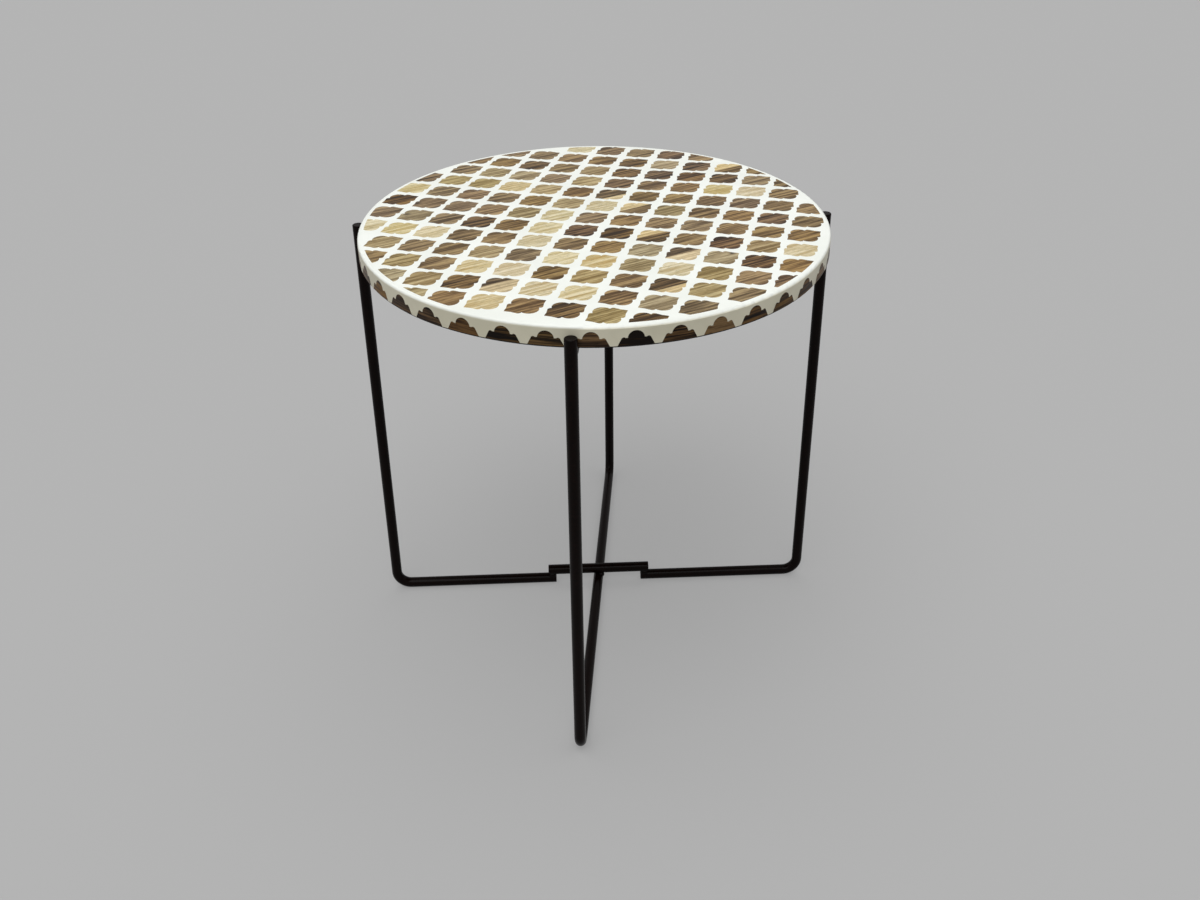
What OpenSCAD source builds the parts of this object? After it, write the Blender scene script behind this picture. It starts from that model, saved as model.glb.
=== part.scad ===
// Round side table: an inlaid top carried by four upright rod legs.
// Wooden lantern tiles lie in a white resin casting over a board core, and half lanterns run
// round the edge. The frame is bent steel rod: one U runs from front to rear, and the other is
// cut in the middle and steps over it on a short raised rod. All of it is welded together.

/* [Overall] */
// Diameter of the round top
table_d = 450; // [400:1:600]
// Height from the floor to the top surface
table_h = 457; // [300:1:700]
// Thickness of the whole top
top_t = 19.5; // [19:0.5:30]

/* [Top layers] */
// Thickness of the surface tiles and of the resin between them
inlay_t = 3; // [2:0.5:4]
// Thickness of the resin band round the rim
band_t = 3; // [2:0.5:6]
// Radius of the rounded top edge
edge_round = 2.5; // [1:0.1:3]
// Thickness of the dark sheet under the top
backing_t = 1.5; // [1:0.1:2]
// How far the dark sheet stands back from the rim
backing_inset = 1; // [0.5:0.1:3]

/* [Surface tiles] */
// Width of plain resin between the outer tiles and the rim
border_w = 5; // [4:0.5:12]
// Spacing of the tiles along their long axis
pitch_long = 48.4; // [46:0.1:60]
// Spacing of the tiles along their short axis
pitch_short = 47.3; // [45:0.1:60]
// Resin between the points of two tiles
point_gap = 9.4; // [8:0.1:16]
// Resin between the domes of two tiles
dome_gap = 16.1; // [14:0.1:20]
// Radius of a tile's two domes
dome_r = 8.2; // [7.5:0.1:9]
// Length of a tile across its shoulders
shoulder_l = 25.2; // [24:0.1:28]
// Width of a tile across its shoulders
shoulder_w = 20; // [18:0.1:22]
// Radius of a tile's shoulders
shoulder_r = 2.6; // [2:0.1:3]
// Depth of the notch between a dome and a shoulder
notch_d = 0.6; // [0.4:0.1:1]
// Length of the right-angled point at each end of a tile
point_l = 4.3; // [2:0.1:5]
// Turn of the whole pattern on the top, in degrees
pattern_turn = 32; // [0:1:90]
// How far right of the top's middle the pattern starts
start_x = -1.5; // [-10:0.1:10]
// How far behind the top's middle the pattern starts
start_y = 5.1; // [-10:0.1:10]
// Least depth that a tile at the border reaches inwards past its own middle
border_tile_in = 8; // [0:0.5:10]
// Largest wander of the hand-laid rows sideways
wander_x = 1.9; // [0:0.1:2]
// Largest wander of the hand-laid rows front to back
wander_y = 3; // [0:0.1:3]
// Which random mix of woods is laid
wood_seed = 71; // [1:1:99]
// Share of tan wood among the tiles with no wood of their own
tan_share = 0.1; // [0:0.01:0.6]
// Share of dark wood among the rest of them
dark_share = 0.1; // [0:0.01:0.6]

/* [Edge pieces] */
// How many half lanterns run round the rim
edge_count = 39; // [24:1:40]
// Length of a half lantern along the rim
edge_piece_l = 30.2; // [26:0.1:32]
// Height of a half lantern
edge_piece_h = 13.4; // [12:0.1:14]
// Radius of its dome
edge_dome_r = 6.9; // [6:0.1:7.5]
// Length across its shoulders
edge_shoulder_l = 24.2; // [23:0.1:25]
// Height of its shoulders
edge_shoulder_h = 7.6; // [7:0.1:8]
// Radius of its shoulders
edge_shoulder_r = 2; // [1:0.1:2.4]
// Turn of the row of half lanterns, in degrees
edge_turn = 1.6; // [0:0.1:9]
// Share of dark wood among the half lanterns
edge_dark_share = 0.4; // [0.2:0.01:0.8]

/* [Frame] */
// Diameter of the steel rod
rod_d = 11; // [10:0.5:12]
// Gap between the rim and each leg
leg_gap = 0.5; // [0.3:0.1:3]
// Centre-line radius of the bend at each foot
foot_r = 16; // [14:0.5:40]
// How far the rod ends stay below the top surface
tip_drop = 7; // [4:0.5:12]
// Radius on the edge of each rod end
tip_round = 0.8; // [0.3:0.1:2]
// Turn of the side frame out of the left-right line, in degrees
side_turn = 4.4; // [0:0.1:6]
// Turn of the front frame out of the front-rear line, in degrees
front_turn = 1.9; // [0:0.1:4]
// How far the side frame stands behind the middle of the top
side_back = 18.8; // [0:0.1:30]
// How far the front frame stands left of the middle of the top
front_left = 1.6; // [0:0.1:20]
// Length of the raised rod that steps over the front rod
step_l = 115; // [80:1:160]
// How far the raised rod laps over the cut ends of the side rods below it
step_lap = 9; // [8:0.5:14]
// Gap left under the raised rod, closed by the welds
weld_gap = 0.2; // [0.1:0.1:0.5]
// Radius of the weld beads
weld_r = 3; // [2.6:0.1:3.4]

/* [Fixing tabs] */
// Length of each tab from the leg inwards
tab_l = 36; // [28:1:60]
// Width of each tab
tab_w = 11; // [11:1:24]
// Thickness of each tab
tab_t = 3; // [2.8:0.1:5]
// Length of the weld bead under each tab
tab_weld_l = 5; // [3:0.5:6]
// Diameter of the wood screws
screw_d = 4; // [3:0.5:5]
// Length of the screws under the head
screw_l = 14; // [10:0.5:16]
// Diameter of the screw heads
screw_head_d = 8.5; // [7.5:0.5:10]
// Height of the screw heads
screw_head_h = 2.4; // [2:0.1:3]
// Bevel on the rim of the screw heads
screw_head_bevel = 1.2; // [0.5:0.1:1.5]
// Length of the cross recess in the screw heads
recess_l = 4.2; // [3:0.1:5]
// Width of the cross recess
recess_w = 1.1; // [0.8:0.1:1.5]
// Depth of the cross recess
recess_depth = 1.2; // [0.8:0.1:1.4]
// Play between a screw and its hole
screw_play = 0.2; // [0.1:0.1:0.5]

/* [Hidden] */
$fn = 64;

// Overshoot of a cutting shape past the face that it cuts
over = 1;
// How far the weld in a lap stays back from the cut ends of the rods
weld_back = 0.4;
// How deep the middle of a tab's weld bead lies inside the corner that it fills
weld_sink = 0.4;

top_r = table_d / 2;
core_r = top_r - band_t;
inlay_r = top_r - border_w;
under_z = table_h - top_t;
core_z = under_z + backing_t;
inlay_z = table_h - inlay_t;

rod_r = rod_d / 2;
leg_r = top_r + leg_gap + rod_r;
leg_top = table_h - tip_drop;
step_rise = rod_d + weld_gap;
step_half = step_l / 2;
// Where each side rod starts, measured from the crossing
lap_x = step_half - step_lap;

// Lengths worked out below are kept to the hundredth of a millimetre
function rounded(v) = round(100 * v) / 100;

// Half the width of each frame between its legs, which stand on one circle round the top
side_half = rounded(sqrt(leg_r * leg_r - side_back * side_back));
front_half = rounded(sqrt(leg_r * leg_r - front_left * front_left));
// Where the bars cross, along the front frame and along the side frame
bar_angle = 90 - front_turn - side_turn;
cross_front = rounded((side_back - front_left * cos(bar_angle)) / sin(bar_angle));
cross_side = rounded(cross_front * cos(bar_angle) - front_left * sin(bar_angle));

// Legs in the order right, rear, left, front
side_lean = asin(side_back / leg_r);
front_lean = asin(front_left / leg_r);
leg_angles = [
    side_turn + side_lean, 90 - front_turn + front_lean,
    180 + side_turn - side_lean, 270 - front_turn - front_lean,
];
tab_z = under_z - tab_t;
tab_end = leg_r - rod_r;
screw_x = tab_end - tab_l + tab_w / 2;

// Pattern of the surface: one step along a row, one step to the next row, and its start
tile_l = pitch_long - point_gap;
tile_w = pitch_short - dome_gap;
half_long = pitch_long / 2 * [cos(pattern_turn), sin(pattern_turn)];
half_short = pitch_short / 2 * [sin(pattern_turn), -cos(pattern_turn)];
step_i = half_long + half_short;
step_j = half_short - half_long;
pattern_start = [start_x, start_y];
row_reach = ceil(1.5 * top_r / min(norm(step_i), norm(step_j)));

// Tiles that were clearly cut from one kind of wood, by place along the row and row
pale_tiles = [
    [-2, -6], [3, -3], [4, -3], [-3, -2], [-6, -1], [0, -1], [-1, 0], [-1, 1], [6, 1],
    [-6, 2], [-5, 2], [-4, 2], [-1, 2], [0, 3], [1, 3], [3, 3], [-2, 4], [-1, 4], [0, 5],
    [1, 5], [-1, 6],
];
tan_tiles = [
    [1, -5], [-1, -4], [-4, -3], [-3, -3], [-1, -3], [-5, -2], [-4, -2], [-1, -1], [2, -1],
    [-2, 0], [-5, 1], [5, 1], [2, 2], [4, 2], [4, 3], [1, 4], [4, 4], [-4, 5], [-3, 5], [2, 6],
];
dark_tiles = [
    [1, -6], [0, -5], [2, -5], [-3, -4], [0, -4], [1, -4], [2, -4], [3, -4], [0, -3],
    [-6, -2], [5, -1], [-6, 0], [-3, 1], [0, 1], [4, 1], [5, 2], [1, 6],
];
two_tone_tiles = [[3, -5], [0, -2], [1, -1], [2, 1], [3, 2], [3, 4], [-1, 5]];
dark_edge_piece = 1;

// Seeds of the random draws: steps along the row and from row to row, and start
tan_draw = [31, 57, 500];
dark_draw = [57, 31, 900];
edge_draw = [17, 0, 0];

// Waves of the hand-laid rows: degrees along the row and from row to row, start and size
waves_x = [[29, 3, -18, 1], [18, 50, 23, -0.55]];
waves_y = [[30, 14, -8, 1], [22, -12.5, 45, -0.6]];

function listed(cell, list) = len([for (entry = list) if (entry == cell) 1]) > 0;
function luck(cell, draw) =
    rands(0, 1, 1, wood_seed + draw[0] * cell.x + draw[1] * cell.y + draw[2])[0];
function wood(cell) =
    listed(cell, pale_tiles) ? "pale"
    : listed(cell, two_tone_tiles) ? "two_tone"
    : listed(cell, tan_tiles) ? "tan"
    : listed(cell, dark_tiles) ? "dark"
    : luck(cell, tan_draw) < tan_share ? "tan"
    : luck(cell, dark_draw) < dark_share ? "dark"
    : "brown";
function edge_wood(k) =
    k == dark_edge_piece ? "dark"
    : luck([k, 0], edge_draw) < edge_dark_share ? "dark"
    : "brown";

// The rows were laid by hand and wander slowly in long waves
function wave(cell, w) = w[3] * sin(w[0] * cell.x + w[1] * cell.y + w[2]);
function wander(cell) = [
    wander_x * (wave(cell, waves_x[0]) + wave(cell, waves_x[1])),
    wander_y * (wave(cell, waves_y[0]) + wave(cell, waves_y[1])),
];
function tile_place(cell) =
    pattern_start + cell.x * step_i + cell.y * step_j + wander(cell);
// A tile turns with the line from its neighbour before it to its neighbour after it
function tile_turn(cell) =
    let (line = tile_place(cell + [1, 0]) - tile_place(cell - [1, 0]))
    pattern_turn + atan2(line.y, line.x) - atan2(step_i.y, step_i.x);

cells = [
    for (j = [-row_reach:row_reach])
        for (i = [-row_reach:row_reach])
            if (norm(tile_place([i, j])) < inlay_r + border_tile_in) [i, j]
];

// Where the straight flank from a point of a lantern meets the circle of its shoulder
function flank_end(start, centre, r) =
    let (
        away = norm(centre - start),
        a = atan2(centre.y - start.y, centre.x - start.x) - asin(r / away)
    )
    start + sqrt(away * away - r * r) * [cos(a), sin(a)];
function mirrored(points) = [for (k = [len(points) - 1:-1:0]) [-points[k].x, points[k].y]];
function upside_down(points) = [for (k = [len(points) - 1:-1:0]) [points[k].x, -points[k].y]];

// Right-hand flank of a surface tile, from its point up to the notch
function tile_flank() =
    let (
        neck = [tile_l / 2 - point_l, point_l],
        shoulder = [shoulder_l / 2 - shoulder_r, shoulder_w / 2 - shoulder_r]
    )
    [neck, flank_end(neck, shoulder, shoulder_r), [shoulder.x, shoulder_w / 2 - notch_d]];

// Outline of one surface tile, points left and right, domes up and down
module tile_outline() {
    upper = concat(tile_flank(), mirrored(tile_flank()));
    polygon(concat([[tile_l / 2, 0]], upper, [[-tile_l / 2, 0]], upside_down(upper)));
    for (side = [-1, 1]) {
        translate([0, side * (tile_w / 2 - dome_r)]) circle(r = dome_r);
        for (end = [-1, 1])
            translate([end * (shoulder_l / 2 - shoulder_r), side * (shoulder_w / 2 - shoulder_r)])
                circle(r = shoulder_r);
    }
}

// Outline on one cell of the pattern, cut at the inlay's edge where it reaches past it
module cell_outline(cell) {
    if (norm(tile_place(cell)) + tile_l / 2 < inlay_r)
        placed_tile(cell);
    else
        intersection() {
            placed_tile(cell);
            circle(r = inlay_r);
        }
}

module placed_tile(cell) {
    translate(tile_place(cell)) rotate(tile_turn(cell)) tile_outline();
}

module tiles(kind) {
    for (cell = cells)
        if (wood(cell) == kind)
            translate([0, 0, inlay_z]) linear_extrude(inlay_t) cell_outline(cell);
}

// Outline of one half lantern, its flanks running on a little below its straight cut
module edge_outline() {
    shoulder = [edge_shoulder_l / 2 - edge_shoulder_r, edge_shoulder_h - edge_shoulder_r];
    foot = [edge_piece_l / 2, 0];
    flank_top = flank_end(foot, shoulder, edge_shoulder_r);
    flank = [
        foot - (flank_top - foot) * over / flank_top.y,
        flank_top,
        [shoulder.x, edge_shoulder_h - notch_d],
    ];
    polygon(concat(flank, mirrored(flank)));
    translate([0, edge_piece_h - edge_dome_r]) circle(r = edge_dome_r);
    for (side = [-1, 1])
        translate([side * shoulder.x, shoulder.y]) circle(r = edge_shoulder_r);
}

// A prism pointing outwards through the resin band at place k
module edge_block(k) {
    rotate([0, 0, 270 + edge_turn + k * 360 / edge_count])
        translate([core_r - over, 0, core_z])
            rotate([90, 0, 90]) linear_extrude(band_t + 2 * over) edge_outline();
}

module edge_pieces(kind) {
    intersection() {
        union() {
            for (k = [0:edge_count - 1])
                if (edge_wood(k) == kind) edge_block(k);
        }
        difference() {
            translate([0, 0, core_z]) cylinder(r = top_r, h = top_t);
            cylinder(r = core_r, h = table_h + top_t);
        }
    }
}

module at_leg(k) {
    rotate([0, 0, leg_angles[k]]) children();
}

// Holes through which the four screws reach up into the core
module screw_holes() {
    for (k = [0:3])
        at_leg(k) translate([screw_x, 0, tab_z - over])
            cylinder(d = screw_d + screw_play, h = screw_l + over + screw_play);
}

module core_board() {
    color("tan")
        difference() {
            translate([0, 0, core_z]) cylinder(r = core_r, h = inlay_z - core_z);
            screw_holes();
        }
}

module backing_sheet() {
    color("dimgray")
        difference() {
            translate([0, 0, under_z]) cylinder(r = top_r - backing_inset, h = backing_t);
            screw_holes();
        }
}

// White resin between the tiles, out to the edge of the core
module resin_surface() {
    color("ivory")
        translate([0, 0, inlay_z])
            linear_extrude(inlay_t)
                difference() {
                    circle(r = core_r);
                    for (cell = cells) cell_outline(cell);
                }
}

// Section of the resin band, with its rounded upper edge
module band_section() {
    band_h = table_h - core_z;
    corner_r = min(edge_round, band_t);
    difference() {
        square([band_t, band_h]);
        translate([band_t - corner_r, band_h - corner_r])
            difference() {
                square(corner_r + over);
                circle(r = corner_r);
            }
    }
}

module resin_band() {
    color("ivory")
        difference() {
            translate([0, 0, core_z]) rotate_extrude() translate([core_r, 0]) band_section();
            for (k = [0:edge_count - 1]) edge_block(k);
        }
}

module tiles_pale() {
    color("burlywood") tiles("pale");
}

module tiles_tan() {
    color("darkkhaki") tiles("tan");
}

module tiles_brown() {
    color("sienna") tiles("brown");
}

module tiles_dark() {
    color("saddlebrown") tiles("dark");
}

module tiles_two_tone() {
    color("peru") tiles("two_tone");
}

module edge_pieces_brown() {
    color("sienna") edge_pieces("brown");
}

module edge_pieces_dark() {
    color("saddlebrown") edge_pieces("dark");
}

// Straight rod from the origin along +X
module rod_run(l) {
    rotate([0, 90, 0]) cylinder(d = rod_d, h = l);
}

// Quarter bend of the rod in the XZ plane, from the floor bar up to the leg
module foot_bend() {
    rotate([90, 0, 0]) rotate([0, 0, -90])
        rotate_extrude(angle = 90) translate([foot_r, 0]) circle(d = rod_d);
}

// Last bit of a rod up to its cut end, with a rounded edge
module rod_tip() {
    rotate_extrude() {
        square([rod_r - tip_round, tip_round]);
        intersection() {
            translate([rod_r - tip_round, 0]) circle(r = tip_round);
            square([rod_r, tip_round]);
        }
    }
}

// Straight rod from the origin up to a cut end
module tipped_rod(l) {
    cylinder(d = rod_d, h = l - tip_round);
    translate([0, 0, l - tip_round]) rod_tip();
}

// Foot bend at half_w with the leg that rises from it
module foot_and_leg(half_w) {
    translate([half_w - foot_r, 0, rod_r + foot_r]) foot_bend();
    translate([half_w, 0, rod_r + foot_r]) tipped_rod(leg_top - rod_r - foot_r);
}

// Starts a floor bar at the foot bend and points it at the middle of the frame
module from_foot(half_w) {
    translate([half_w - foot_r, 0, rod_r]) rotate([0, -90, 0]) children();
}

// Places a shape that lies along X in the plane of each frame
module in_side_frame() {
    rotate([0, 0, side_turn]) translate([0, side_back, 0]) children();
}

module in_front_frame() {
    rotate([0, 0, 90 - front_turn]) translate([0, front_left, 0]) children();
}

// One half of the side frame: its floor bar ends in a cut at x, under the raised rod
module side_rod(turn, x) {
    color("black")
        in_side_frame()
            rotate([0, 0, turn]) {
                foot_and_leg(side_half);
                from_foot(side_half) tipped_rod(side_half - foot_r - x);
            }
}

// Short raised rod, cut square at both ends
module step_rod() {
    color("black")
        in_side_frame()
            translate([cross_side, 0, rod_r + step_rise])
                for (side = [-1, 1])
                    rotate([0, side * 90, 0]) tipped_rod(step_half);
}

// Two beads along one lap, in the grooves between the raised rod and the rod below it
module step_weld(turn) {
    bead_l = step_lap - 2 * weld_r - 2 * weld_back;
    color("dimgray")
        in_side_frame()
            translate([cross_side, 0, 0])
                rotate([0, 0, turn])
                    difference() {
                        for (side = [-1, 1])
                            translate([lap_x + step_lap / 2, side * (rod_r - weld_r),
                                    rod_r + step_rise / 2]) {
                                rotate([0, 90, 0]) cylinder(r = weld_r, h = bead_l, center = true);
                                for (end = [-1, 1])
                                    translate([end * bead_l / 2, 0, 0]) sphere(r = weld_r);
                            }
                        for (z = [rod_r, rod_r + step_rise])
                            translate([lap_x - over, 0, z]) rod_run(step_lap + 2 * over);
                    }
}

module front_rod() {
    color("black")
        in_front_frame()
            for (turn = [0, 180])
                rotate([0, 0, turn]) {
                    foot_and_leg(front_half);
                    from_foot(front_half) cylinder(d = rod_d, h = front_half - foot_r);
                }
}

// Two beads in opposite corners of the crossing, filling the gap between the rods
module crossing_weld() {
    color("dimgray")
        difference() {
            in_side_frame()
                for (corner = [90 + bar_angle / 2, 270 + bar_angle / 2])
                    translate([cross_side, 0, rod_d + weld_gap / 2])
                        rotate([0, 0, corner]) translate([rod_r, 0, 0]) sphere(r = weld_r);
            in_front_frame() translate([cross_front - rod_d, 0, rod_r]) rod_run(2 * rod_d);
            in_side_frame()
                translate([cross_side - rod_d, 0, rod_r + step_rise]) rod_run(2 * rod_d);
        }
}

// Flat tab from the leg inwards, with a round inner end and a screw hole
module tab(k) {
    color("dimgray")
        at_leg(k)
            translate([0, 0, tab_z])
                difference() {
                    linear_extrude(tab_t) {
                        translate([screw_x, 0]) circle(d = tab_w);
                        translate([screw_x, -tab_w / 2]) square([tab_end - screw_x, tab_w]);
                    }
                    translate([screw_x, 0, -over])
                        cylinder(d = screw_d + screw_play, h = tab_t + 2 * over);
                }
}

// Fillet bead under the outer end of a tab, against the leg
module tab_weld(k) {
    past_bead = weld_r + weld_sink + over;
    color("dimgray")
        at_leg(k)
            difference() {
                translate([tab_end + weld_sink, 0, tab_z + weld_sink]) {
                    rotate([90, 0, 0]) cylinder(r = weld_r, h = tab_weld_l, center = true);
                    for (side = [-1, 1])
                        translate([0, side * tab_weld_l / 2, 0]) sphere(r = weld_r);
                }
                translate([tab_end - past_bead, -tab_w, tab_z])
                    cube([past_bead, 2 * tab_w, past_bead]);
                translate([leg_r, 0, tab_z - past_bead]) cylinder(d = rod_d, h = 2 * past_bead);
            }
}

// Pan-head wood screw with a cross recess, head down
module screw(k) {
    color("silver")
        at_leg(k)
            translate([screw_x, 0, tab_z - screw_head_h])
                difference() {
                    union() {
                        cylinder(d1 = screw_head_d - 2 * screw_head_bevel, d2 = screw_head_d,
                            h = screw_head_bevel);
                        translate([0, 0, screw_head_bevel])
                            cylinder(d = screw_head_d, h = screw_head_h - screw_head_bevel);
                        cylinder(d = screw_d, h = screw_head_h + screw_l);
                    }
                    for (a = [0, 90])
                        rotate([0, 0, a])
                            translate([-recess_l / 2, -recess_w / 2, -over])
                                cube([recess_l, recess_w, over + recess_depth]);
                }
}

core_board();
backing_sheet();
resin_surface();
resin_band();
tiles_pale();
tiles_tan();
tiles_brown();
tiles_dark();
tiles_two_tone();
edge_pieces_brown();
edge_pieces_dark();
side_rod(0, lap_x + cross_side);  // side_rod_right
side_rod(180, lap_x - cross_side);  // side_rod_left
step_rod();
front_rod();
step_weld(0);  // step_weld_right
step_weld(180);  // step_weld_left
crossing_weld();
tab(0);  // tab_right
tab(1);  // tab_rear
tab(2);  // tab_left
tab(3);  // tab_front
tab_weld(0);  // tab_weld_right
tab_weld(1);  // tab_weld_rear
tab_weld(2);  // tab_weld_left
tab_weld(3);  // tab_weld_front
screw(0);  // screw_right
screw(1);  // screw_rear
screw(2);  // screw_left
screw(3);  // screw_front
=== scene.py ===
# %% [markdown]
# # A round side table with an inlaid top
# The real table is a disc of board faced with small wooden lantern tiles, which lie in white
# cast resin. It stands on a frame of bent steel rod: one U runs from front to rear, and the one
# across it is cut in the middle and steps over it on a short raised rod. The exact solids of
# all these parts come in as a fixed frame, so this lesson is about what they are made of: each
# part gets a material that is built from nodes, at the real size of its grain and bumps.

import math

import bpy
from mathutils import Matrix, Vector

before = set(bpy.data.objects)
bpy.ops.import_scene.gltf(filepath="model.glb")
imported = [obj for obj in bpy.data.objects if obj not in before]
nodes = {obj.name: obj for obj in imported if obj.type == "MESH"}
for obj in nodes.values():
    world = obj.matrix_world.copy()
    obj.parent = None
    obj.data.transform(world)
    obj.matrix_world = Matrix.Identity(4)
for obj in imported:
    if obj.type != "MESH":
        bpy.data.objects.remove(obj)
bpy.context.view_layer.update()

# %% [markdown]
# ## Two helpers
# A shader is a tree of nodes, and nearly every line below adds one node and plugs others into
# it. One small function does that, so a line reads as: this kind of node, with these inputs
# and these settings. Colours are written as in a paint program, in sRGB hex, while a shader
# wants linear light, so a second function turns one into the other.

# %% Add a node
MM = 0.001

def add(tree, kind, inputs=None, **settings):
    """Adds a node; an input is a value or the output socket of another node."""
    node = tree.nodes.new("ShaderNode" + kind)
    for name, value in settings.items():
        setattr(node, name, value)
    for key, value in (inputs or {}).items():
        if isinstance(value, bpy.types.NodeSocket):
            tree.links.new(value, node.inputs[key])
        else:
            node.inputs[key].default_value = value
    return node

# %% Turn a hex colour to linear light
def linear(hex_colour):
    """Linear RGBA of an sRGB colour such as "8A6B4F"."""
    parts = [int(hex_colour[k:k + 2], 16) / 255 for k in (0, 2, 4)]
    return [p / 12.92 if p <= 0.04045 else ((p + 0.055) / 1.055) ** 2.4 for p in parts] + [1.0]

print("middle grey in linear light:", [round(c, 3) for c in linear("808080")])

# %% [markdown]
# ## Which tile am I in?
# Real tiles are sawn from many boards, so each one has its own tone and its own piece of
# grain. A shader only knows the place that it colours, but the tiles lie on a slanted lattice
# whose rows wander a little, and that can be worked back: take off the start and the wander,
# express the place in lattice steps, and round it. The whole numbers name the tile, and what
# is left over is the place inside it. This group does that sum once for all kinds of wood.

# %% The lattice of the tiles
PATTERN_TURN = math.radians(32)
PITCH_LONG, PITCH_SHORT = 48.4 * MM, 47.3 * MM
PATTERN_START = Vector((-1.5, 5.1)) * MM
# Each wave: degrees along the row, degrees from row to row, start in degrees, size
WAVES_X = ((29, 3, -18, 1.9 * MM), (18, 50, 23, -0.55 * 1.9 * MM))
WAVES_Y = ((30, 14, -8, 3.0 * MM), (22, -12.5, 45, -0.6 * 3.0 * MM))

half_long = PITCH_LONG / 2 * Vector((math.cos(PATTERN_TURN), math.sin(PATTERN_TURN)))
half_short = PITCH_SHORT / 2 * Vector((math.sin(PATTERN_TURN), -math.cos(PATTERN_TURN)))
step_i, step_j = half_long + half_short, half_short - half_long
print("one step along a row: %.1f mm" % (step_i.length / MM))

# %% The wander of the rows, as nodes
def wander_nodes(tree, cell):
    """Nodes for how far the rows stray at a cell, given as a vector (i, j, 1)."""
    sums = []
    for waves in (WAVES_X, WAVES_Y):
        total = 0.0
        for along, across, start, size in waves:
            turn = [math.radians(a) for a in (along, across, start)]
            phase = add(tree, "VectorMath", {0: cell, 1: turn}, operation="DOT_PRODUCT")
            swing = add(tree, "Math", {0: phase.outputs["Value"]}, operation="SINE")
            total = add(tree, "Math", {0: swing.outputs[0], 1: size, 2: total},
                        operation="MULTIPLY_ADD").outputs[0]
        sums.append(total)
    return add(tree, "CombineXYZ", {"X": sums[0], "Y": sums[1]}).outputs[0]

# %% The place in lattice steps, as nodes
def lattice_nodes(tree, place):
    """Nodes for a place on the top, in metres, as lattice steps (u, v, 1)."""
    det = step_i.x * step_j.y - step_i.y * step_j.x
    to_u = (step_j.y / det, -step_j.x / det, 0)
    to_v = (-step_i.y / det, step_i.x / det, 0)
    moved = add(tree, "VectorMath", {0: place, 1: (*PATTERN_START, 0)}, operation="SUBTRACT")
    u, v = [add(tree, "VectorMath", {0: moved.outputs[0], 1: row}, operation="DOT_PRODUCT")
            for row in (to_u, to_v)]
    return add(tree, "CombineXYZ", {"X": u.outputs["Value"], "Y": v.outputs["Value"],
                                    "Z": 1.0}).outputs[0]

# %% The group that names the tile and the place in it
def new_group(name, outputs):
    """An empty node group with the given outputs, each a name and a socket type."""
    tree = bpy.data.node_groups.new(name, "ShaderNodeTree")
    for socket, kind in outputs:
        tree.interface.new_socket(socket, in_out="OUTPUT", socket_type="NodeSocket" + kind)
    return tree, tree.nodes.new("NodeGroupOutput")

tile_finder, tile_out = new_group("tile finder", (("Cell", "Vector"), ("Grain", "Vector")))
place = add(tile_finder, "TexCoord").outputs["Object"]
rough_cell = lattice_nodes(tile_finder, place)
straightened = add(tile_finder, "VectorMath", {0: place, 1: wander_nodes(tile_finder, rough_cell)},
                   operation="SUBTRACT")
near_cell = lattice_nodes(tile_finder, straightened.outputs[0])
half_up = add(tile_finder, "VectorMath", {0: near_cell, 1: (0.5, 0.5, 0)}, operation="ADD")
cell = add(tile_finder, "VectorMath", {0: half_up.outputs[0]}, operation="FLOOR").outputs[0]

# %% Turn the place in the tile along its grain
parts = add(tile_finder, "SeparateXYZ", {0: cell})
along_i = add(tile_finder, "VectorMath", {0: (*step_i, 0), "Scale": parts.outputs["X"]},
              operation="SCALE")
along_j = add(tile_finder, "VectorMath", {0: (*step_j, 0), "Scale": parts.outputs["Y"]},
              operation="SCALE")
middle = add(tile_finder, "VectorMath", {0: along_i.outputs[0], 1: along_j.outputs[0]},
             operation="ADD")
middle = add(tile_finder, "VectorMath", {0: middle.outputs[0],
                                         1: wander_nodes(tile_finder, cell)}, operation="ADD")
middle = add(tile_finder, "VectorMath", {0: middle.outputs[0], 1: (*PATTERN_START, 0)},
             operation="ADD")
inside = add(tile_finder, "VectorMath", {0: place, 1: middle.outputs[0]}, operation="SUBTRACT")
turned = add(tile_finder, "VectorRotate", {"Vector": inside.outputs[0], "Angle": -PATTERN_TURN},
             rotation_type="Z_AXIS")
tile_finder.links.new(cell, tile_out.inputs["Cell"])
tile_finder.links.new(turned.outputs[0], tile_out.inputs["Grain"])
print("tile finder:", len(tile_finder.nodes), "nodes")

# %% [markdown]
# ## Which half lantern am I in?
# The half lanterns on the rim stand every 9.23 degrees, so the angle round the top names the
# piece. Their grain runs level, along the rim, so the place in a piece is the arc length from
# its middle and the height. A second group gives both, in the same form as the first.

# %% The group that names the half lantern
EDGE_COUNT = 39
EDGE_TURN = math.radians(1.6)
TOP_RADIUS = 225 * MM
RIM_MIDDLE = 439 * MM
EDGE_STEP = 2 * math.pi / EDGE_COUNT

edge_finder, edge_out = new_group("half lantern finder", (("Cell", "Vector"), ("Grain", "Vector")))
seen = add(edge_finder, "SeparateXYZ", {0: add(edge_finder, "TexCoord").outputs["Object"]})
back = add(edge_finder, "Math", {0: seen.outputs["Y"], 1: -1.0}, operation="MULTIPLY")
angle = add(edge_finder, "Math", {0: seen.outputs["X"], 1: back.outputs[0]},
            operation="ARCTAN2")
steps = add(edge_finder, "Math", {0: angle.outputs[0], 1: EDGE_TURN}, operation="SUBTRACT")
steps = add(edge_finder, "Math", {0: steps.outputs[0], 1: EDGE_STEP}, operation="DIVIDE")
piece = add(edge_finder, "Math", {0: steps.outputs[0]}, operation="ROUND").outputs[0]
off = add(edge_finder, "Math", {0: steps.outputs[0], 1: piece}, operation="SUBTRACT")
arc = add(edge_finder, "Math", {0: off.outputs[0], 1: EDGE_STEP * TOP_RADIUS},
          operation="MULTIPLY")
height = add(edge_finder, "Math", {0: seen.outputs["Z"], 1: RIM_MIDDLE}, operation="SUBTRACT")
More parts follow.
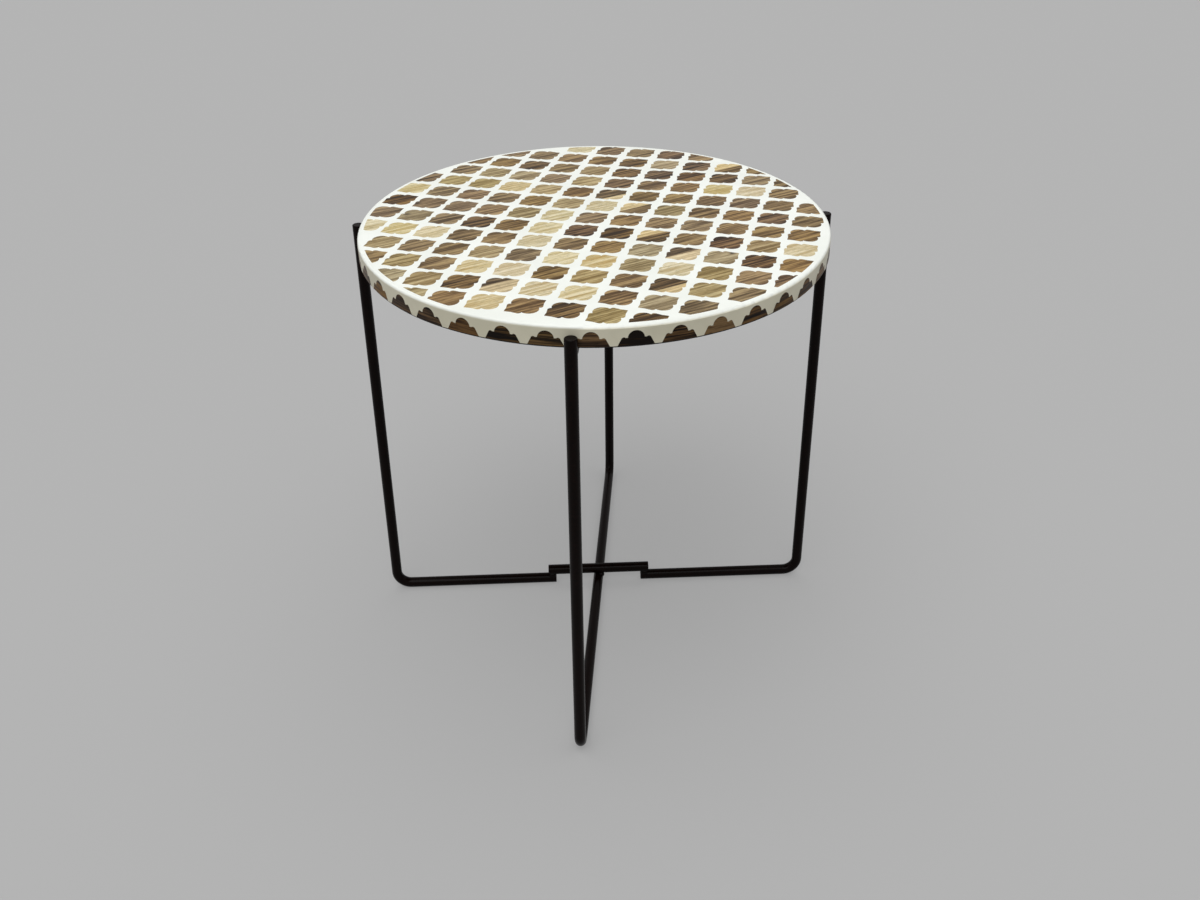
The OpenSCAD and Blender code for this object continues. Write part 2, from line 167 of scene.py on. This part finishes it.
edge_cell = add(edge_finder, "CombineXYZ", {"X": piece, "Z": 1.0})
edge_grain = add(edge_finder, "CombineXYZ", {"X": arc.outputs[0], "Y": height.outputs[0]})
edge_finder.links.new(edge_cell.outputs[0], edge_out.inputs["Cell"])
edge_finder.links.new(edge_grain.outputs[0], edge_out.inputs["Grain"])
print("half lantern finder:", len(edge_finder.nodes), "nodes")

# %% [markdown]
# ## Wood
# Sawn and polished hardwood shows broad bands where the board's year rings pass, fine streaks
# of fibre about a millimetre wide and some centimetres long, short dark pores, and a tone that
# differs from board to board. Each is a noise that is stretched along the grain, at a size in
# millimetres, and shifted by the tile's own number so that no two tiles show the same wood.

# %% Streaks of one size along the grain
NOISE_SPAN = 0.36    # a noise mostly stays this far apart from its darkest to its brightest

def streaks(tree, grain, width, length, detail=2.0, **noise):
    """Noise whose features are about width across and length along the grain."""
    scaled = add(tree, "VectorMath", {0: grain, 1: (1 / length, 1 / width, 1 / width)},
                 operation="MULTIPLY")
    return add(tree, "TexNoise", {"Vector": scaled.outputs[0], "Scale": 1.0, "Detail": detail,
                                  **noise}).outputs["Fac"]

# %% An empty material
def new_material(name):
    """An empty material with its shader plugged in."""
    material = bpy.data.materials.new(name)
    material.use_nodes = True
    material.node_tree.nodes.clear()
    shader = add(material.node_tree, "BsdfPrincipled")
    add(material.node_tree, "OutputMaterial", {"Surface": shader.outputs[0]})
    return material, material.node_tree, shader

# %% The grain of one piece, as nodes
PATCH_SPREAD = 3.0      # metres over which the pieces' patches of grain are strewn

def find_piece(tree, finder):
    """Nodes for a piece's own luck, the place in it, and its own patch of grain."""
    found = add(tree, "Group", node_tree=finder)
    luck = add(tree, "TexWhiteNoise", {"Vector": found.outputs["Cell"]}, noise_dimensions="3D")
    grain = add(tree, "VectorMath", {0: luck.outputs["Color"], 1: (PATCH_SPREAD,) * 3,
                                     2: found.outputs["Grain"]}, operation="MULTIPLY_ADD")
    return found, luck, grain.outputs[0]

# %% The colour of a wood, as nodes
HUE_LOW, HUE_HIGH = 0.497, 0.509                  # 0.5 leaves the hue as it is
SATURATION_LOW, SATURATION_HIGH = 0.85, 1.1

def wood_colour(tree, luck, grain, tones, tone_spread, bands, lines, start=0.5):
    """Nodes for the colour of a wood between three tones, dark, middle and light."""
    # Year bands, streaks, fibres and the piece's own luck: each with its span and its share
    swings = (
        (streaks(tree, grain, 7 * MM, 80 * MM, 1.0, Distortion=0.6), NOISE_SPAN, bands),
        (streaks(tree, grain, 2.6 * MM, 60 * MM, 1.0), NOISE_SPAN, lines),
        (streaks(tree, grain, 0.8 * MM, 22 * MM, 2.0), NOISE_SPAN, 0.6 * lines),
        (luck.outputs["Value"], 1.0, tone_spread),
    )
    tone = start
    for swing, span, size in swings:
        centred = add(tree, "Math", {0: swing, 1: 0.5}, operation="SUBTRACT").outputs[0]
        tone = add(tree, "Math", {0: centred, 1: 2 * size / span, 2: tone},
                   operation="MULTIPLY_ADD").outputs[0]
    ramp = add(tree, "ValToRGB", {"Fac": tone})
    ramp.color_ramp.elements[0].color = linear(tones[0])
    ramp.color_ramp.elements[1].color = linear(tones[2])
    ramp.color_ramp.elements.new(0.5).color = linear(tones[1])
    chance = add(tree, "SeparateColor", {0: luck.outputs["Color"]})
    hue_turn = add(tree, "MapRange", {"Value": chance.outputs[1], "To Min": HUE_LOW,
                                      "To Max": HUE_HIGH})
    depth = add(tree, "MapRange", {"Value": chance.outputs[2], "To Min": SATURATION_LOW,
                                   "To Max": SATURATION_HIGH})
    tinted = add(tree, "HueSaturation", {"Hue": hue_turn.outputs[0],
                                         "Saturation": depth.outputs[0],
                                         "Color": ramp.outputs["Color"]})
    return tinted.outputs[0]

# %% The polish on a wood
# Real pores are about 0.2 mm wide, and are drawn twice as wide, or they would not show
PORE_WIDTH, PORE_LENGTH = 0.4 * MM, 5 * MM
PORE_SHADE = 0.62       # how bright the wood is in a pore, as a share of the rest

def polish(tree, shader, colour, grain):
    """Plugs in the colour with dark pores, a sealed surface and the pores a little sunk."""
    pores = streaks(tree, grain, PORE_WIDTH, PORE_LENGTH, 0.0)
    pore = add(tree, "MapRange", {"Value": pores, "From Min": 0.6, "From Max": 0.7,
                                  "To Min": 1.0, "To Max": PORE_SHADE}).outputs[0]
    dotted = add(tree, "VectorMath", {0: colour, "Scale": pore}, operation="SCALE")
    tree.links.new(dotted.outputs[0], shader.inputs["Base Color"])
    worn = add(tree, "TexNoise", {"Vector": grain, "Scale": 1 / (12 * MM), "Detail": 2.0})
    rough = add(tree, "MapRange", {"Value": worn.outputs["Fac"], "To Min": 0.3, "To Max": 0.42})
    tree.links.new(rough.outputs[0], shader.inputs["Roughness"])
    bump = add(tree, "Bump", {"Height": pore, "Distance": 0.05 * MM, "Strength": 0.4})
    tree.links.new(bump.outputs[0], shader.inputs["Normal"])
    shader.inputs["IOR"].default_value = 1.45
    shader.inputs["Specular IOR Level"].default_value = 0.14

# %% [markdown]
# ## Pieces with a face of their own
# Some pieces are plainly their own: a few tiles show a dark knot, a few half lanterns are much
# darker or lighter than the rest, and seven tiles are sawn where the pale outer wood of the
# tree meets its dark heart. They are listed by their lattice numbers, and a shader finds them
# by how far its own numbers are from the listed ones.

# %% Is this the listed piece?
def is_cell(tree, found, cell):
    """A node that is 1 in one piece, given by its two whole numbers, and 0 elsewhere."""
    away = add(tree, "VectorMath", {0: found.outputs["Cell"], 1: (*cell, 1)},
               operation="DISTANCE")
    return add(tree, "Math", {0: away.outputs["Value"], 1: 0.5}, operation="LESS_THAN").outputs[0]

# %% Knots
# Each entry: the tile, the knot's place in it and its radius
KNOT_TONE = "2A201A"
BROWN_KNOTS = (((4, 2), (14 * MM, 3 * MM), 2.6 * MM), ((-5, 1), (-6 * MM, 7 * MM), 2.4 * MM),
               ((-5, 0), (-12 * MM, 6 * MM), 3.2 * MM))

def with_knots(tree, found, grain, colour, knots):
    """Darkens the colour round each knot, in an oval that is ragged and lies along the grain."""
    for cell, knot_place, radius in knots:
        off = add(tree, "VectorMath", {0: found.outputs["Grain"], 1: (*knot_place, 0)},
                  operation="SUBTRACT")
        squeezed = add(tree, "VectorMath", {0: off.outputs[0], 1: (0.6, 1, 0)},
                       operation="MULTIPLY")
        away = add(tree, "VectorMath", {0: squeezed.outputs[0]}, operation="LENGTH")
        ragged = streaks(tree, grain, 2 * MM, 4 * MM, 2.0)
        reach = add(tree, "Math", {0: ragged, 1: radius, 2: away.outputs["Value"]},
                    operation="MULTIPLY_ADD")
        dark = add(tree, "MapRange", {"Value": reach.outputs[0], "From Min": 0.6 * radius,
                                      "From Max": 1.7 * radius, "To Min": 1.0, "To Max": 0.0})
        here = add(tree, "Math", {0: dark.outputs[0], 1: is_cell(tree, found, cell)},
                   operation="MULTIPLY")
        colour = add(tree, "Mix", {"Factor": here.outputs[0], "A": colour,
                                   "B": linear(KNOT_TONE)}, data_type="RGBA").outputs["Result"]
    return colour

# %% A wood of one kind
def wood(name, finder, tones, tone_spread=0.14, bands=0.3, lines=0.5, knots=(), own=()):
    """Polished wood in pieces, each with its own tone and grain; own shifts the tone of some."""
    material, tree, shader = new_material(name)
    found, luck, grain = find_piece(tree, finder)
    start = 0.5
    for cell, shift in own:
        start = add(tree, "Math", {0: is_cell(tree, found, cell), 1: shift, 2: start},
                    operation="MULTIPLY_ADD").outputs[0]
    colour = wood_colour(tree, luck, grain, tones, tone_spread, bands, lines, start)
    colour = with_knots(tree, found, grain, colour, knots)
    polish(tree, shader, colour, grain)
    return material

PALE_BEECH = wood("pale beech", tile_finder, ("B19765", "CBBA8E", "E3D6B4"), bands=0.2,
                  lines=0.35)
TAN_MANGO = wood("tan mango wood", tile_finder, ("7A6642", "A08B63", "C0AD84"),
                 knots=BROWN_KNOTS)
BROWN_SHEESHAM = wood("brown sheesham", tile_finder, ("543F26", "856C4A", "AA8F64"),
                      knots=BROWN_KNOTS)
DARK_SHEESHAM = wood("dark sheesham", tile_finder, ("2E1F12", "664C31", "957750"))

# %% The tiles where outer wood meets heart
# Each entry: the tile, the side of it that is pale, and how far off its middle the line runs
PALE_SIDES = (((3, 2), -1, 1 * MM), ((-1, 5), -1, 4 * MM), ((1, -1), 1, 2 * MM),
              ((2, 1), 1, 3 * MM), ((3, -5), 1, 0 * MM), ((0, -2), -1, -6 * MM),
              ((3, 4), -1, -4 * MM))
LINE_WAVE, LINE_BLUR = 3 * MM, 1 * MM

def two_tone(name, finder, dark_tones, pale_tones):
    """Heartwood and sapwood in one tile, with a line between them along the grain."""
    material, tree, shader = new_material(name)
    found, luck, grain = find_piece(tree, finder)
    heart = wood_colour(tree, luck, grain, dark_tones, 0.1, 0.3, 0.5)
    outer = wood_colour(tree, luck, grain, pale_tones, 0.1, 0.2, 0.35)
    across = add(tree, "SeparateXYZ", {0: found.outputs["Grain"]}).outputs["Y"]
    wavy = streaks(tree, grain, 12 * MM, 40 * MM, 1.0)
    across = add(tree, "Math", {0: wavy, 1: LINE_WAVE, 2: across}, operation="MULTIPLY_ADD")
    pale = 0.0
    for cell, side, offset in PALE_SIDES:
        past = add(tree, "MapRange", {"Value": across.outputs[0],
                                      "From Min": offset + (LINE_WAVE - side * LINE_BLUR) / 2,
                                      "From Max": offset + (LINE_WAVE + side * LINE_BLUR) / 2})
        pale = add(tree, "Math", {0: past.outputs[0], 1: is_cell(tree, found, cell), 2: pale},
                   operation="MULTIPLY_ADD").outputs[0]
    colour = add(tree, "Mix", {"Factor": pale, "A": heart, "B": outer}, data_type="RGBA")
    polish(tree, shader, colour.outputs["Result"], grain)
    return material

TWO_TONE = two_tone("two tone sheesham", tile_finder, ("392C19", "6D5639", "947C56"),
                    ("AE986E", "D0B888", "E6D2A5"))

# %% The two woods of the rim
# Each entry: the half lantern, and how much lighter or darker than its kind it is
OWN_EDGES = (((1, 0), -0.9), ((2, 0), -0.2), ((3, 0), 0.25), ((-3, 0), 0.25), ((5, 0), -0.25))
EDGE_BROWN = wood("brown sheesham edge", edge_finder, ("2A1B0D", "523A1E", "7B5B33"), 0.12,
                  own=OWN_EDGES)
EDGE_DARK = wood("dark sheesham edge", edge_finder, ("100905", "442F18", "694C29"), 0.12,
                 own=OWN_EDGES)
print(len(bpy.data.materials), "materials so far")

# %% Lay the woods
def finish_part(material, *names):
    """Gives CAD parts a material in place of the plain one that they came with."""
    for name in names:
        for slot in nodes[name].material_slots:
            slot.material = material
    print(material.name, "on", ", ".join(names))

finish_part(PALE_BEECH, "tiles_pale")
finish_part(TAN_MANGO, "tiles_tan")
finish_part(BROWN_SHEESHAM, "tiles_brown")
finish_part(DARK_SHEESHAM, "tiles_dark")
finish_part(TWO_TONE, "tiles_two_tone")
finish_part(EDGE_BROWN, "edge_pieces_brown")
finish_part(EDGE_DARK, "edge_pieces_dark")

# %% [markdown]
# ## Resin
# The white between the tiles is polyester resin with white pigment, poured, cured and sanded
# flush. It is nearly as smooth as the tiles, with soft clouds where the pigment settled
# unevenly and fine sanding marks. The band round the rim is painted darker and creamier on its
# side than on its white top edge, as painted shade. The band is one part, so the height in it
# picks the tone.

# %% Cast resin
# Below these heights the band is painted darker, as shade; above them it is white like the top
SHADE_FADE_FROM, SHADE_FADE_TO = 454.2 * MM, 456.2 * MM
RESIN_WHITE, RESIN_CLOUD = "F4F7F1", "EEF1EA"
SANDING_MARKS = 1.5 * MM    # coarser than the real ones, which would not show

def resin(name, side, shaded_side_cloud):
    """Cast resin, white on top and in two tones of its own further down, which on the band are
    darker as painted shade.
    """
    material, tree, shader = new_material(name)
    place = add(tree, "TexCoord").outputs["Object"]
    clouds = add(tree, "TexNoise", {"Vector": place, "Scale": 1 / (40 * MM), "Detail": 3.0})
    soft = add(tree, "MapRange", {"Value": clouds.outputs["Fac"], "From Min": 0.35,
                                  "From Max": 0.65})
    below = add(tree, "Mix", {"Factor": soft.outputs[0], "A": linear(side),
                              "B": linear(shaded_side_cloud)}, data_type="RGBA")
    above = add(tree, "Mix", {"Factor": soft.outputs[0], "A": linear(RESIN_WHITE),
                              "B": linear(RESIN_CLOUD)}, data_type="RGBA")
    height = add(tree, "SeparateXYZ", {0: place}).outputs["Z"]
    shade_fade = add(tree, "MapRange", {"Value": height, "From Min": SHADE_FADE_FROM,
                                    "From Max": SHADE_FADE_TO}, interpolation_type="SMOOTHSTEP")
    mix = add(tree, "Mix", {"Factor": shade_fade.outputs[0], "A": below.outputs["Result"],
                            "B": above.outputs["Result"]}, data_type="RGBA")
    tree.links.new(mix.outputs["Result"], shader.inputs["Base Color"])
    marks = add(tree, "TexNoise", {"Vector": place, "Scale": 1 / SANDING_MARKS, "Detail": 2.0})
    rough = add(tree, "MapRange", {"Value": marks.outputs["Fac"], "To Min": 0.26,
                                   "To Max": 0.4})
    tree.links.new(rough.outputs[0], shader.inputs["Roughness"])
    bump = add(tree, "Bump", {"Height": marks.outputs["Fac"], "Distance": 0.02 * MM,
                              "Strength": 0.3})
    tree.links.new(bump.outputs[0], shader.inputs["Normal"])
    shader.inputs["IOR"].default_value = 1.54
    shader.inputs["Specular IOR Level"].default_value = 0.3
    return material

finish_part(resin("white cast resin", RESIN_WHITE, RESIN_CLOUD), "resin_surface")
# Painted shade: the side of the band gets a darker, creamier tone than its white top
finish_part(resin("cast resin with painted shade on its side", "DDD8C2", "D2CDB6"), "resin_band")

# %% [markdown]
# ## Black frame
# The rods are powder coated: a dry powder is baked on, which gives a thick, glossy black skin
# with the faint waviness of orange peel, a few millimetres across. The crests of the peel are
# coloured a little lighter, as a painted sheen.

# %% Powder coat
def powder_coat(name, black, painted_sheen, peel, depth):
    """Glossy baked black coating with an orange peel of the given size, whose crests get a lighter
    painted sheen.
    """
    material, tree, shader = new_material(name)
    place = add(tree, "TexCoord").outputs["Object"]
    waves = add(tree, "TexNoise", {"Vector": place, "Scale": 1 / peel, "Detail": 2.0})
    tone = add(tree, "MapRange", {"Value": waves.outputs["Fac"], "From Min": 0.3,
                                  "From Max": 0.7})
    # Painted sheen: the lighter black follows the crests of the orange peel
    mix = add(tree, "Mix", {"Factor": tone.outputs[0], "A": linear(black),
                            "B": linear(painted_sheen)}, data_type="RGBA")
    tree.links.new(mix.outputs["Result"], shader.inputs["Base Color"])
    dust = add(tree, "TexNoise", {"Vector": place, "Scale": 1 / (30 * MM), "Detail": 4.0})
    rough = add(tree, "MapRange", {"Value": dust.outputs["Fac"], "To Min": 0.16,
                                   "To Max": 0.3})
    tree.links.new(rough.outputs[0], shader.inputs["Roughness"])
    bump = add(tree, "Bump", {"Height": waves.outputs["Fac"], "Distance": depth,
                              "Strength": 0.5})
    tree.links.new(bump.outputs[0], shader.inputs["Normal"])
    shader.inputs["IOR"].default_value = 1.4
    shader.inputs["Specular IOR Level"].default_value = 0.11
    return material

ROD_COAT = powder_coat("black powder coat", "070302", "100604", 2.5 * MM, 0.05 * MM)
WELD_COAT = powder_coat("powder coat on weld", "060302", "0E0604", 1.2 * MM, 0.3 * MM)
finish_part(ROD_COAT, "side_rod_right", "side_rod_left", "step_rod", "front_rod",
            "tab_right", "tab_rear", "tab_left", "tab_front")
finish_part(WELD_COAT, "step_weld_right", "step_weld_left", "crossing_weld",
            "tab_weld_right", "tab_weld_rear", "tab_weld_left", "tab_weld_front")

# %% [markdown]
# ## What is under the top
# Seen from below, the top is closed by a sheet of backing paper, whose black is painted shade:
# it gives the thin dark line under the rim. Four zinc screws hold it to the tabs, and the core is
# fibreboard.

# %% Backing paper, fibreboard and zinc
def fibrous(name, dark, light, fibre, roughness):
    """A matt sheet of pressed fibres."""
    material, tree, shader = new_material(name)
    place = add(tree, "TexCoord").outputs["Object"]
    felt = add(tree, "TexNoise", {"Vector": place, "Scale": 1 / fibre, "Detail": 5.0,
                                  "Distortion": 1.5})
    mix = add(tree, "Mix", {"Factor": felt.outputs["Fac"], "A": linear(dark),
                            "B": linear(light)}, data_type="RGBA")
    tree.links.new(mix.outputs["Result"], shader.inputs["Base Color"])
    bump = add(tree, "Bump", {"Height": felt.outputs["Fac"], "Distance": 0.1 * MM,
                              "Strength": 0.5})
    tree.links.new(bump.outputs[0], shader.inputs["Normal"])
    shader.inputs["Roughness"].default_value = roughness
    return material

# The backing's black is painted shade, for the dark line under the rim
finish_part(fibrous("backing paper black as painted shade", "141312", "2A2725", 3 * MM, 0.85), "backing_sheet")
finish_part(fibrous("fibreboard", "8A6B48", "B1946B", 2 * MM, 0.8), "core_board")

# %% Zinc plate
# A thin bright layer, whose fine crystals give it a cool sparkle from one grain to the next
ZINC, zinc_tree, zinc_shader = new_material("zinc plated steel")
zinc_place = add(zinc_tree, "TexCoord").outputs["Object"]
spangle = add(zinc_tree, "TexVoronoi", {"Vector": zinc_place, "Scale": 1 / (0.8 * MM)})
zinc_tone = add(zinc_tree, "Mix", {"Factor": spangle.outputs["Distance"],
                                   "A": linear("B9BCC2"), "B": linear("9EA0A3")},
                data_type="RGBA")
zinc_tree.links.new(zinc_tone.outputs["Result"], zinc_shader.inputs["Base Color"])
zinc_rough = add(zinc_tree, "MapRange", {"Value": spangle.outputs["Distance"], "To Min": 0.25,
                                         "To Max": 0.4})
zinc_tree.links.new(zinc_rough.outputs[0], zinc_shader.inputs["Roughness"])
zinc_shader.inputs["Metallic"].default_value = 1.0
finish_part(ZINC, "screw_right", "screw_rear", "screw_left", "screw_front")

# %% [markdown]
# ## Floor, light and camera
# The table was photographed on plain paper under broad studio lamps. A sky that is bright
# overhead and dim at the horizon gives that light without any lamp's edge showing in the
# gloss, and a very soft sun from the front lifts the rim. Together they light the table at a
# level at which a colour renders about as it is written. The paper shows only a faint shadow,
# so half of what the camera sees of the floor is its plain grey and half is the lit floor.
# Seen from below, the floor is clear, so that the underside of the table can be looked at.
# Gloss shows the plain background too, so a mirror-like ray counts as one from the camera.

# %% Who sees the plain background
def sees_plain(tree):
    """A node that is 1 for rays from the camera, a gloss or a clear body, and 0 for light."""
    ray = add(tree, "LightPath")
    seen = ray.outputs["Is Camera Ray"]
    for kind in ("Is Glossy Ray", "Is Transmission Ray"):
        seen = add(tree, "Math", {0: seen, 1: ray.outputs[kind]}, operation="MAXIMUM").outputs[0]
    return seen

# %% Floor
FLOOR_GREY = "A9A9A9"
WALL_GREY = "B8B8B8"
FLOOR_PLAIN = 0.5       # the share of plain grey in what the camera sees of the floor
FLOOR_SIZE = 20
bpy.ops.object.select_all(action="DESELECT")
bpy.ops.mesh.primitive_plane_add(size=FLOOR_SIZE, location=(0, 0, 0))
floor = bpy.context.object
floor.name = "floor"
floor_material, floor_tree, floor_shader = new_material("matt floor")
floor_shader.inputs["Base Color"].default_value = linear(FLOOR_GREY)
floor_shader.inputs["Roughness"].default_value = 0.9
floor_shader.inputs["Specular IOR Level"].default_value = 0.1
plain_grey = add(floor_tree, "Emission", {"Color": linear(WALL_GREY)})
plain_share = add(floor_tree, "Math", {0: sees_plain(floor_tree), 1: FLOOR_PLAIN},
                  operation="MULTIPLY")
floor_mix = add(floor_tree, "MixShader", {0: plain_share.outputs[0], 1: floor_shader.outputs[0],
                                          2: plain_grey.outputs[0]})
from_below = add(floor_tree, "NewGeometry").outputs["Backfacing"]
nothing = add(floor_tree, "BsdfTransparent")
one_way = add(floor_tree, "MixShader", {0: from_below, 1: floor_mix.outputs[0],
                                        2: nothing.outputs[0]})
floor_out = floor_tree.nodes["Material Output"]
floor_tree.links.new(one_way.outputs[0], floor_out.inputs["Surface"])
floor.data.materials.append(floor_material)
print("floor %d m wide" % FLOOR_SIZE)

# %% A sky that is bright overhead
HORIZON, OVERHEAD = 0.15, 2.12
world = bpy.data.worlds.new("broad light overhead")
bpy.context.scene.world = world
world.use_nodes = True
world.node_tree.nodes.clear()
direction = add(world.node_tree, "TexCoord").outputs["Generated"]
upward = add(world.node_tree, "SeparateXYZ", {0: direction}).outputs["Z"]
upward = add(world.node_tree, "Math", {0: upward, 1: 0.0}, operation="MAXIMUM").outputs[0]
glow = add(world.node_tree, "Math", {0: upward, 1: 4.0}, operation="POWER").outputs[0]
glow = add(world.node_tree, "Math", {0: glow, 1: OVERHEAD, 2: HORIZON},
           operation="MULTIPLY_ADD").outputs[0]
sky = add(world.node_tree, "Background", {"Color": (1, 1, 1, 1), "Strength": glow})
wall = add(world.node_tree, "Background", {"Color": linear(WALL_GREY), "Strength": 1.0})
mix = add(world.node_tree, "MixShader", {0: sees_plain(world.node_tree), 1: sky.outputs[0],
                                         2: wall.outputs[0]})
add(world.node_tree, "OutputWorld", {"Surface": mix.outputs[0]})
print("sky from %.2f at the horizon to %.2f overhead" % (HORIZON, HORIZON + OVERHEAD))

# %% A very soft sun from the front
SUN_WIDTH, SUN_STRENGTH, SUN_TURN = 50, 0.92, (30, -12, 0)
bpy.ops.object.light_add(type="SUN", location=(-0.5, -0.6, 2.4))
lamp = bpy.context.object
lamp.name = "soft light from the front"
lamp.data.angle = math.radians(SUN_WIDTH)
lamp.data.energy = SUN_STRENGTH
lamp.rotation_euler = [math.radians(a) for a in SUN_TURN]
print("sun %d degrees wide at strength %.2f" % (SUN_WIDTH, SUN_STRENGTH))

# %% [markdown]
# The camera was found by matching the table's outlines to the photograph. Its focal length
# came out in pixels of the picture, so the sensor's width turns it into millimetres. The
# picture is a crop from below the middle of the lens, which is what the shift stands for.

# %% Camera
IMAGE_WIDTH, SENSOR_WIDTH = 1200, 36
FOCAL = 1119.58
AZIMUTH, ELEVATION, ROLL = (math.radians(a) for a in (2.284, 26.125, -0.611))
EYE = Vector((44.95, -1004.08, 862.96)) * MM
SHIFT_UP = -0.125
TABLE_MIDDLE = Vector((0, 0, 230)) * MM

camera_data = bpy.data.cameras.new("camera")
camera = bpy.data.objects.new("camera", camera_data)
bpy.context.scene.collection.objects.link(camera)
bpy.context.scene.camera = camera
camera_data.sensor_width = SENSOR_WIDTH
camera_data.lens = FOCAL / IMAGE_WIDTH * SENSOR_WIDTH
camera_data.shift_y = SHIFT_UP
camera_data.clip_start = 0.05
camera.location = EYE
facing = Vector((math.sin(AZIMUTH) * math.cos(ELEVATION),
                 -math.cos(AZIMUTH) * math.cos(ELEVATION), math.sin(ELEVATION)))
camera.rotation_euler = ((-facing).to_track_quat("-Z", "Y").to_matrix()
                         @ Matrix.Rotation(ROLL, 3, "Z")).to_euler()
print("camera %.2f m from the table" % (EYE - TABLE_MIDDLE).length)

# %% [markdown]
# ## Finish
# Nothing was added that stands out from the solids, so the dressed table has to be exactly as
# large as they are.

# %% Finish
bpy.context.scene.view_settings.view_transform = "Standard"
